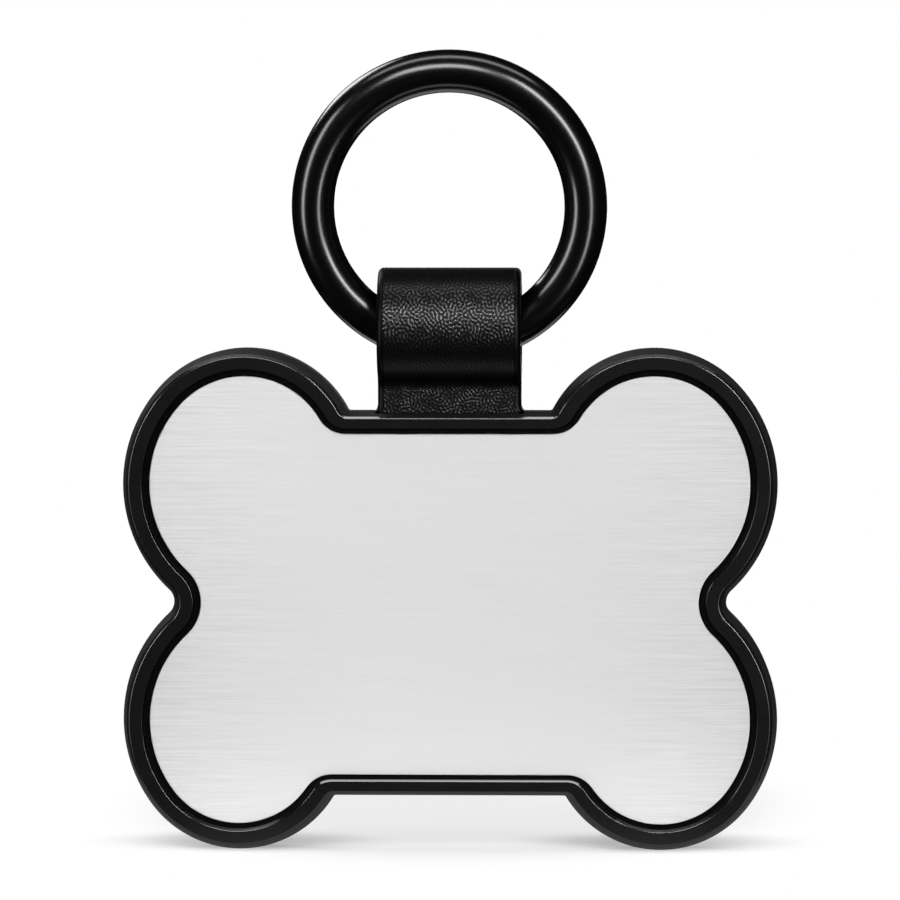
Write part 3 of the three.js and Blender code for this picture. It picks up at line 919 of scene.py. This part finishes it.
def black_leather():
    """Black pebble-grained leather, waxed on its grain, with smooth painted edges. The grain is
    pulled flat over the ring and its glints fade there, which also paints the fold's top darker.
    Under the roll, where the loop narrows to its neck, the glints are taken off as painted shade."""
    nodes = material_nodes("black_grain_leather")
    flat = nodes.stored("strip_place", "Vector")
    edge = nodes.stored("edge_paint")
    face = 1 - edge
    from_fold = abs(nodes.axis(flat, "Y"))
    # Grain pulled flat over the fold, its glints faded there: partly real, partly painted shade on
    # the top
    pulled_flat_and_shaded = 1 - from_fold.step(*PULLED_AND_SHADED_FADE)
    # Glints taken off under the roll: painted shade
    painted_under_shade = from_fold.step(*UNDER_SHADE_START) * (1 - from_fold.step(*UNDER_SHADE_END))
    tail = from_fold.step(*TAIL_START)
    sockets = {"Vector": flat, "Scale": 1.55, "Frequency": 2.6, "Anisotropy": 0.0}
    ripple = nodes.add("ShaderNodeTexGabor", {"gabor_type": "2D"}, sockets, "Value")
    patch = nodes.noise(flat, 0.9).step(0.3, 0.6)
    relief = (0.55 + 0.45 * patch) * (1 - 0.7 * pulled_flat_and_shaded) * (1 - 0.85 * painted_under_shade) * (1 - 0.2 * tail)
    stroke = ripple.step(0.46, 0.66) * relief
    hill = ripple.step(0.3, 0.75) * relief * face
    pore = nodes.noise(flat, 9)
    normal = nodes.bump(0.8 * hill + 0.2 * pore * face, 0.03)
    dull = nodes.shader({
        "Base Color": nodes.mix(stroke * face, grey(0.0005), grey(0.0015)),
        "Roughness": 0.5 - 0.1 * stroke + 0.1 * (pore - 0.5),
        "Specular IOR Level": 0.06,
        "Normal": normal,
    })
    waxed = nodes.shader({
        "Base Color": nodes.mix(pore, grey(0.001), grey(0.002)),
        "Roughness": 0.33 + 0.06 * (pore - 0.5),
        "IOR": 1.85,
        "Normal": normal,
    })
    return nodes.mixed_surface((0.08 + 0.92 * stroke) * face + 0.06 * edge, dull, waxed)


def gloss_black():
    """Ring wire with a glossy black coat."""
    nodes = material_nodes("gloss_black_coat")
    place = nodes.place()
    ripple = nodes.noise(place, 0.9)
    haze = nodes.noise(place, 3.5, 4, 0.6)
    return nodes.surface(nodes.shader({
        "Base Color": nodes.mix(haze, grey(0.0005), grey(0.001)),
        "Roughness": 0.18 + 0.05 * haze,
        "Specular IOR Level": 0.7,
        "Normal": nodes.bump(ripple, 0.004, 0.5),
    }))


def screw_black():
    """Black oxide with fine turning marks on the head."""
    nodes = material_nodes("black_oxide")
    place = nodes.place()
    radius = nodes.length(nodes.scaled(place, (1, 0, 1)))
    turning_marks = (55.0 * radius).wave()
    cloud = nodes.noise(place, 2.2, 4, 0.6)
    rubbed = nodes.stored("rubbed_edge") * cloud.step(0.4, 0.65)
    return nodes.surface(nodes.shader({
        "Base Color": nodes.mix(0.35 * cloud + 0.5 * rubbed, grey(0.02), grey(0.09, 0.02)),
        "Roughness": 0.36 + 0.16 * cloud - 0.08 * rubbed,
        "Metallic": 0.7,
        "Normal": nodes.bump(turning_marks, 0.003, 0.4),
    }))


def sheet_steel():
    """Plain rolled steel of the anchor bar."""
    nodes = material_nodes("rolled_steel")
    roll = nodes.noise(nodes.scaled(nodes.place(), (0.4, 3, 6)), 1.2, 4, 0.6)
    return nodes.surface(nodes.shader({
        "Base Color": nodes.mix(roll, grey(0.42, 0.01), grey(0.6)),
        "Roughness": 0.32 + 0.2 * roll,
        "Metallic": 1.0,
        "Normal": nodes.bump(roll, 0.004, 0.5),
    }))


def rivet_brass():
    """Brass, dulled in patches."""
    nodes = material_nodes("dull_brass")
    dull = nodes.noise(nodes.place(), 1.6, 4, 0.6)
    bright_brass, dark_brass = (0.68, 0.5, 0.22, 1), (0.4, 0.28, 0.12, 1)
    return nodes.surface(nodes.shader({
        "Base Color": nodes.mix(dull.step(0.35, 0.7), bright_brass, dark_brass),
        "Roughness": 0.26 + 0.25 * dull,
        "Metallic": 1.0,
        "Normal": nodes.bump(dull, 0.003, 0.5),
    }))


def film_black():
    """Thin black adhesive film."""
    nodes = material_nodes("adhesive_black")
    cloud = nodes.noise(nodes.place(), 1.2, 4, 0.6)
    return nodes.surface(nodes.shader({
        "Base Color": nodes.mix(cloud, grey(0.008), grey(0.016)),
        "Roughness": 0.6 + 0.2 * cloud,
        "Normal": nodes.bump(cloud, 0.01, 0.5),
    }))


def pale_floor():
    """Seen as white, and near the tag as a pale matt floor too, which takes the tag's shadow.
    Less of the white at the lobes' feet paints that shadow deeper there.
    """
    nodes = material_nodes("pale_floor")
    place = nodes.place()
    haze = nodes.noise(place, 0.05)
    pale = nodes.shader({
        "Base Color": nodes.mix(haze, grey(0.74), grey(0.76)),
        "Roughness": 0.75,
        "Specular IOR Level": 0.1,
    })
    white = nodes.add("ShaderNodeEmission", None, {"Color": grey(1.0), "Strength": 1.0})
    shaded_x, shaded_y = SHADED_HALVES
    away = nodes.length(nodes.scaled(place, (1 / shaded_x, 1 / shaded_y, 0)))
    aside = abs(nodes.axis(place, "X")) - LOBE_FOOT_X
    along = nodes.axis(place, "Y") + (FLOOR_BACK / MM - LOBE_FOOT_Y)
    foot_x, foot_y = LOBE_FOOT_HALVES
    sockets = {0: aside * (1 / foot_x), 1: along * (1 / foot_y)}
    foot = nodes.add("ShaderNodeCombineXYZ", None, sockets)
    # Less white at the lobes' feet: painted contact shadow
    painted_foot_shadow = 0.35 + 0.65 * nodes.length(foot).step(0.3, 1.1)
    seen = nodes.ray("Camera") + nodes.ray("Glossy") + nodes.ray("Transmission")
    share = seen * (0.66 + 0.34 * away.step(0.75, 1.05)) * painted_foot_shadow
    return nodes.mixed_surface(share, pale, white)


def wear(piece, material):
    piece.data.materials.clear()
    piece.data.materials.append(material)
    return piece


# Pieces, the rigid new ones on their bodies

satin = satin_black()
tag_frame = frame_piece(satin, recess_painted_shade())
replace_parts(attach(tag_frame, "tag"), "frame")

plate = plate_piece(brushed_steel())
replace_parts(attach(plate, "tag"), "face_plate")

cover = cover_piece(satin)
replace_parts(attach(cover, "tag"), "back_cover")

oxide = screw_black()
for k, (x, z) in enumerate(screw_places()):
    screw = wear(screw_piece(k + 1, x, z, SCREW_TURNS[k]), oxide)
    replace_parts(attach(screw, "tag"), f"cover_screw_{k + 1}")

strap = wear(strap_piece(), black_leather())
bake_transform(strap)
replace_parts(strap, "strap_loop", "strap_tails")

ring = wear(ring_piece(), gloss_black())
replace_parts(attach(ring, "carrying_ring"), "ring")

wear(cad_nodes["plate_adhesive"], film_black())
wear(cad_nodes["anchor_bar"], sheet_steel())
brass = rivet_brass()
wear(cad_nodes["anchor_rivet_left"], brass)
wear(cad_nodes["anchor_rivet_right"], brass)

# Studio: pale floor, white backdrop, softboxes


def floor_piece():
    mesh = bmesh.new()
    bmesh.ops.create_circle(mesh, cap_ends=True, segments=FLOOR_SIDES, radius=FLOOR_RADIUS)
    floor = new_piece("studio_floor", mesh)
    floor.location.y = FLOOR_BACK
    wear(floor, pale_floor())


def studio_world():
    """White behind the tag, and a dim studio around it."""
    world = bpy.data.worlds.new("studio")
    bpy.context.scene.world = world
    nodes = Nodes(world)
    way = nodes.add("ShaderNodeTexCoord", output="Generated")
    behind = nodes.axis(way, "Y") + 0.1 * nodes.axis(way, "X") + 0.15 * nodes.axis(way, "Z")
    mirrored = nodes.ray("Glossy") + nodes.ray("Transmission")
    studio = nodes.mix(mirrored, grey(0.2), grey(0.01))
    backdrop = nodes.ray("Camera") + mirrored * behind.step(0.965, 0.998)
    room = nodes.mix(backdrop, studio, grey(1.0))
    lit = nodes.add("ShaderNodeBackground", None, {"Color": room, "Strength": 1.0})
    nodes.add("ShaderNodeOutputWorld", None, {"Surface": lit})


def from_tag(azimuth, elevation):
    """Direction from the tag, turned to the right of the camera's side and up."""
    a, e = math.radians(azimuth), math.radians(elevation)
    return Vector((math.sin(a) * math.cos(e), -math.cos(a) * math.cos(e), math.sin(e)))


def softbox(name, azimuth, elevation, width, height, radiance, roll=0.0):
    """Lamp that spans the given angles seen from the tag, its top leaned to the left by the
    roll."""
    lamp = bpy.data.lights.new(name, "AREA")
    lamp.shape = "RECTANGLE"
    lamp.size = 2 * STUDIO_REACH * math.tan(math.radians(width) / 2)
    lamp.size_y = 2 * STUDIO_REACH * math.tan(math.radians(height) / 2)
    lamp.energy = radiance * math.pi * lamp.size * lamp.size_y
    stand = bpy.data.objects.new(name, lamp)
    bpy.context.scene.collection.objects.link(stand)
    way = from_tag(azimuth, elevation)
    stand.location = TAG_MIDDLE + STUDIO_REACH * way
    stand.rotation_mode = "QUATERNION"
    lean = Quaternion((0, 0, 1), math.radians(roll))
    stand.rotation_quaternion = way.to_track_quat("Z", "Y") @ lean


floor_piece()
studio_world()
softbox("key_box", azimuth=30, elevation=15, width=12, height=36, radiance=13.5, roll=20)
softbox("right_strip", azimuth=32, elevation=-15, width=10, height=24, radiance=6.5)
softbox("left_strip", azimuth=-55, elevation=4, width=13, height=46, radiance=7)
softbox("front_top_box", azimuth=-6, elevation=29, width=28, height=16, radiance=9)
softbox("overhead_strip", azimuth=0, elevation=80, width=70, height=14, radiance=3.5)
softbox("back_box", azimuth=222, elevation=38, width=24, height=24, radiance=6)
softbox("back_panel", azimuth=174, elevation=4, width=18, height=12, radiance=3)

# Camera: long lens, square on the plate, a little above and to the right

lens = bpy.data.cameras.new("picture_camera")
lens.lens = LENS
lens.sensor_width = SENSOR
lens.clip_start = NEAREST_SEEN
lens.clip_end = FARTHEST_SEEN
camera = bpy.data.objects.new("picture_camera", lens)
bpy.context.scene.collection.objects.link(camera)
back = from_tag(CAMERA_AZIMUTH, CAMERA_ELEVATION)
camera.location = TAG_MIDDLE + back * (PICTURE_WIDTH * LENS / SENSOR)
camera.rotation_mode = "QUATERNION"
camera.rotation_quaternion = (-back).to_track_quat("-Z", "Y")
bpy.context.scene.camera = camera
bpy.context.scene.view_settings.view_transform = "Standard"
